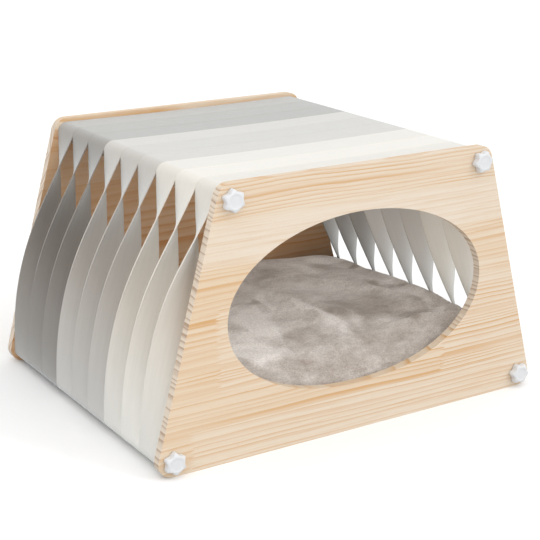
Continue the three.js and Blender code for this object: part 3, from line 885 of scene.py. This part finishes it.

# Patches where the pile is lighter or darker, partly its brushing and partly painted light and shade:
# middle, reach along X and Y, and tone
BRUSHED_AND_SHADED = [
    {"at": (-48, -57), "reach": (26, 55), "tone": 0.36},
    {"at": (-98, -145), "reach": (30, 30), "tone": 0.50},
    {"at": (-63, -125), "reach": (12, 9), "tone": -0.12},
    {"at": (-22, -130), "reach": (13, 26), "tone": -0.16},
    {"at": (-58, -186), "reach": (18, 14), "tone": -0.22},
    {"at": (-36, 4), "reach": (14, 8), "tone": -0.18},
    {"at": (-92, -73), "reach": (18, 10), "tone": -0.16},
    {"at": (-13, 4), "reach": (12, 9), "tone": -0.38},
    {"at": (3, -8), "reach": (8, 24), "tone": 0.25},
    {"at": (-10, -32), "reach": (24, 22), "tone": 0.20},
    {"at": (85, 25), "reach": (34, 26), "tone": 0.14},
    {"at": (85, 62), "reach": (45, 9), "tone": -0.16},
    {"at": (72, 98), "reach": (34, 24), "tone": -0.32},
    {"at": (38, -60), "reach": (7, 60), "tone": 0.34},
    {"at": (46, -125), "reach": (7, 35), "tone": 0.30},
    {"at": (76, -80), "reach": (24, 30), "tone": -0.36},
    {"at": (128, -76), "reach": (38, 40), "tone": -0.26},
    {"at": (62, -96), "reach": (15, 14), "tone": -0.22},
    {"at": (-7, -128), "reach": (26, 28), "tone": -0.16},
    {"at": (82, -121), "reach": (14, 10), "tone": 0.26},
    {"at": (118, -148), "reach": (20, 13), "tone": 0.16},
    {"at": (168, -182), "reach": (40, 8), "tone": 0.08},
    {"at": (160, -153), "reach": (30, 13), "tone": -0.48},
    {"at": (206, -115), "reach": (12, 22), "tone": 0.34},
    {"at": (182, -14), "reach": (9, 18), "tone": -0.42},
    {"at": (206, -23), "reach": (13, 10), "tone": 0.25},
    {"at": (203, -76), "reach": (14, 24), "tone": 0.30},
    {"at": (206, -49), "reach": (19, 6), "tone": -0.25},
    {"at": (170, 90), "reach": (22, 26), "tone": -0.22},
    {"at": (218, 77), "reach": (12, 12), "tone": -0.55},
    {"at": (196, 124), "reach": (28, 16), "tone": 0.40},
    {"at": (135, 90), "reach": (11, 34), "tone": 0.18},
    {"at": (150, -30), "reach": (14, 30), "tone": 0.12},
    {"at": (30, 40), "reach": (26, 30), "tone": 0.10},
    {"at": (35, 88), "reach": (26, 14), "tone": -0.20},
    {"at": (108, 145), "reach": (18, 16), "tone": -0.18},
    {"at": (-28, -6), "reach": (12, 8), "tone": -0.12},
    {"at": (195, -150), "reach": (9, 16), "tone": 0.30},
    {"at": (-80, -168), "reach": (16, 13), "tone": -0.22},
    {"at": (-95, -92), "reach": (18, 14), "tone": 0.20},
    {"at": (110, -196), "reach": (24, 9), "tone": 0.08},
    {"at": (14, -105), "reach": (13, 18), "tone": -0.14},
    {"at": (186, -100), "reach": (12, 18), "tone": -0.14},
    {"at": (220, 135), "reach": (12, 24), "tone": 0.25},
    {"at": (172, 152), "reach": (44, 14), "tone": 0.16},
    {"at": (66, -44), "reach": (20, 14), "tone": 0.16},
    {"at": (60, -165), "reach": (22, 16), "tone": -0.10},
    {"at": (96, -112), "reach": (16, 20), "tone": -0.10},
]
PATCH_STRENGTH = 1.3
PATCH_EDGE = 2.2

# The pile's tone in the middle, and the painted shade that darkens it towards the front, the right and
# the back right, in millimetres: from where, over how far, and on the right along which line
NAP_MIDDLE = 0.64
FRONT_PAINTED_SHADE = {"tone": -0.42, "from": -125, "over": 80}
RIGHT_PAINTED_SHADE = {"tone": -0.28, "from": 30, "over": 70, "along": -110, "reach": 50}
BACK_RIGHT_PAINTED_SHADE = {"tone": -0.05, "from": 130, "over": 220}

# How unevenly the patches' edges run, and how mottled the pile is besides
EDGE_DRIFT = 14
EDGE_DRIFT_SIZE = 26 * MM
MOTTLE_TONE = 0.3
MOTTLE_SIZE = 34 * MM


def bake_modifiers(piece):
    """Puts what the modifiers make into the mesh, and takes them off."""
    seen = piece.evaluated_get(bpy.context.evaluated_depsgraph_get())
    mesh = bpy.data.meshes.new_from_object(seen)
    piece.modifiers.clear()
    piece.data = mesh


def stuff(piece):
    """Blows the cover up against its own stretch, so it is taut over the filling."""
    start = [vert.co.copy() for vert in piece.data.vertices]
    cloth = piece.modifiers.new("filling", "CLOTH")
    cloth.settings.quality = 5
    cloth.settings.use_pressure = True
    cloth.settings.uniform_pressure_force = FILLING_PRESSURE
    cloth.settings.tension_stiffness = COVER_STIFFNESS
    cloth.settings.compression_stiffness = COVER_STIFFNESS
    cloth.settings.effector_weights.gravity = 0
    for step in range(1, FILLING_FRAMES + 1):
        bpy.context.scene.frame_set(step)
    bake_modifiers(piece)
    bpy.context.scene.frame_set(1)
    for vert, before in zip(piece.data.vertices, start):
        move = vert.co - before
        if move.length > CUSHION_CAP:
            vert.co = before + move.normalized() * CUSHION_CAP


def hold_near(piece, solid):
    """Keeps the plush close under the solid's own surface, or a little above its top."""
    for vert in piece.data.vertices:
        nearest, normal, _, _ = solid.find_nearest(vert.co)
        above = (vert.co - nearest).dot(normal)
        highest = CUSHION_PROUD if normal.z > TOP_FACING else 0
        vert.co = vert.co + normal * (min(max(above, -CUSHION_SUNK), highest) - above)


def fold_lie(places, fold):
    """How near each place in the plan is to the fold: its taper, its reach and its side."""
    nearest = np.full(len(places), np.inf)
    side = np.ones(len(places))
    line = np.array(fold["line"], float)
    for start, stop in zip(line, line[1:]):
        along = stop - start
        part = np.clip((places - start) @ along / (along @ along), 0, 1)
        offset = places - start - part[:, None] * along
        distance = np.linalg.norm(offset, axis=1)
        closer = distance < nearest
        nearest = np.where(closer, distance, nearest)
        side = np.where(closer, np.sign(along[0] * offset[:, 1] - along[1] * offset[:, 0]), side)
    ends = np.minimum(*(np.linalg.norm(places - end, axis=1) for end in (line[0], line[-1])))
    taper = np.minimum(1, ends / (FOLD_TAPER * fold["width"]))
    return taper, nearest / fold["width"], side


def brushed_and_shaded_tone(places):
    """How light the pile is at each place in the plan: painted shade over the plan, and patches that are
    partly its brushing and partly painted light and shade.
    """
    across, along = places.T
    front, right, back_right = FRONT_PAINTED_SHADE, RIGHT_PAINTED_SHADE, BACK_RIGHT_PAINTED_SHADE
    fronts = np.clip((front["from"] - along) / front["over"], 0, 1)
    rights = np.clip((across - right["from"]) / right["over"], 0, 1)
    rights = rights * np.exp(-((along - right["along"]) / right["reach"]) ** 2)
    back_rights = np.clip((across + along - back_right["from"]) / back_right["over"], 0, 1)
    # Painted shade: the pile is made darker towards the front, the right and the back right
    tone = NAP_MIDDLE + front["tone"] * fronts
    tone += right["tone"] * rights
    tone += back_right["tone"] * back_rights
    # Patches: partly the pile's brushing, partly painted light and shade, such as the dark along the
    # crease at the front right
    for patch in BRUSHED_AND_SHADED:
        away = (places - np.array(patch["at"])) / np.array(patch["reach"])
        tone += PATCH_STRENGTH * patch["tone"] * np.exp(-(away * away).sum(axis=1) ** PATCH_EDGE)
    return tone


def bulge_into_doorway(points):
    """Leans the front of the plush over the doorway's lower edge."""
    across, depth, height = points.T
    down = np.abs((height - DOOR_CENTRE_HEIGHT) / DOOR_DROP) ** DOOR_LOWER_EXPONENT
    aside = np.abs(across / DOOR_HALF_WIDTH) ** DOOR_LOWER_EXPONENT
    within = np.clip((1 - DOORWAY_MARGIN - down - aside) / DOORWAY_RAMP, 0, 1)
    near = np.clip((-depth - LEAN_START) / LEAN_LENGTH, 0, 1)
    points[:, 1] -= DOORWAY_BULGE * np.sin(within * math.pi / 2) * near * near * (3 - 2 * near)


def fold_brush_and_shade(piece):
    """Lays the folds and lumps into the top, and stores the pile's tone: its brushing, and painted light
    and shade.
    """
    vertices = piece.data.vertices
    points = np.array([vert.co[:] for vert in vertices])
    upward = np.clip((np.array([vert.normal.z for vert in vertices]) - 0.2) / 0.5, 0, 1)
    places = points[:, :2] / MM
    drift = np.array(
        [noise.noise_vector(Vector(point) / EDGE_DRIFT_SIZE)[:2] for point in points])
    tone = brushed_and_shaded_tone(places + EDGE_DRIFT * drift)
    tone += MOTTLE_TONE * np.array([noise.noise(Vector(point) / MOTTLE_SIZE) for point in points])
    rise = np.zeros(len(points))
    for fold in FOLDS:
        taper, reach, side = fold_lie(places, fold)
        flank = side * np.tanh(2 * reach) * np.exp(-reach / 3)
        rise += taper * (fold["rise"] * np.exp(-reach * reach) + fold["step"] * flank)
        # Painted light and shade: one flank of each fold is lighter, the other darker
        tone += taper * fold["tone"] * side * np.exp(-reach / 2)
    for lump in LUMPS:
        rise += lump["rise"] * np.array(
            [noise.noise(Vector(point) / (lump["size"] * MM)) for point in points])
    points[:, 2] += rise * MM * upward
    bulge_into_doorway(points)
    vertices.foreach_set("co", points.ravel())
    nap_and_shade = piece.data.attributes.new("nap_and_shade", "FLOAT", "POINT")
    nap_and_shade.data.foreach_set("value", tone)
    piece.data.update()


def cushion(material):
    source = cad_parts["cushion"].data.copy()
    bm = bmesh.new()
    bm.from_mesh(source)
    bmesh.ops.remove_doubles(bm, verts=bm.verts, dist=CUSHION_MERGE)
    solid = BVHTree.FromBMesh(bm)
    bm.normal_update()
    inset = CUSHION_INSET
    for vert in bm.verts:
        vert.co -= vert.normal * inset
    piece = finished(bm, "cushion_plush", material)
    remesh = piece.modifiers.new("remesh", "REMESH")
    remesh.mode = "VOXEL"
    remesh.voxel_size = VOXEL
    remesh.use_smooth_shade = True
    bake_modifiers(piece)
    stuff(piece)
    hold_near(piece, solid)
    smooth_once(piece)
    bake_modifiers(piece)
    hold_near(piece, solid)
    fold_brush_and_shade(piece)
    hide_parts("cushion")
    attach(piece, "root")


def floor():
    bm = bmesh.new()
    bmesh.ops.create_grid(bm, x_segments=1, y_segments=1, size=FLOOR_HALF_WIDTH)
    piece = finished(bm, "studio_floor", floor_material())


# The bed

place_camera()
light_studio()
floor()

rings = pine_group()
pine = pine_material("pine board", rings, "X")
dowel_pine = pine_material("pine dowel", rings, "Y")
white = knob_material()
panel("front_panel", -INNER_DEPTH / 2 - PANEL_THICKNESS, True, pine)
panel("back_panel", INNER_DEPTH / 2, False, pine)

for level, centre in (("top", TOP_ROD), ("bottom", BOTTOM_ROD)):
    for hand, side in (("left", -1), ("right", 1)):
        axis = Vector((side * centre.x, 0, centre.z))
        turn = math.radians(KNOB_TURNS[level, hand])
        face = Vector((0, INNER_DEPTH / 2 + PANEL_THICKNESS, 0))
        dowel(f"rod_{level}_{hand}", axis, dowel_pine)
        knob(f"knob_front_{level}_{hand}", axis - face, -1, turn, white)
        knob(f"knob_back_{level}_{hand}", axis + face, 1, turn, white)

for index, row in enumerate(BANDS):
    name, dye = ELASTIC_DYES[row["slot"]]
    # Painted light: each band's colour is scaled by its tone, for how the light falls on that band
    toned = [channel * row["tone"] for channel in dye]
    band(index, row, elastic_material(f"{name} {index + 1}", toned))

cushion(plush_material())
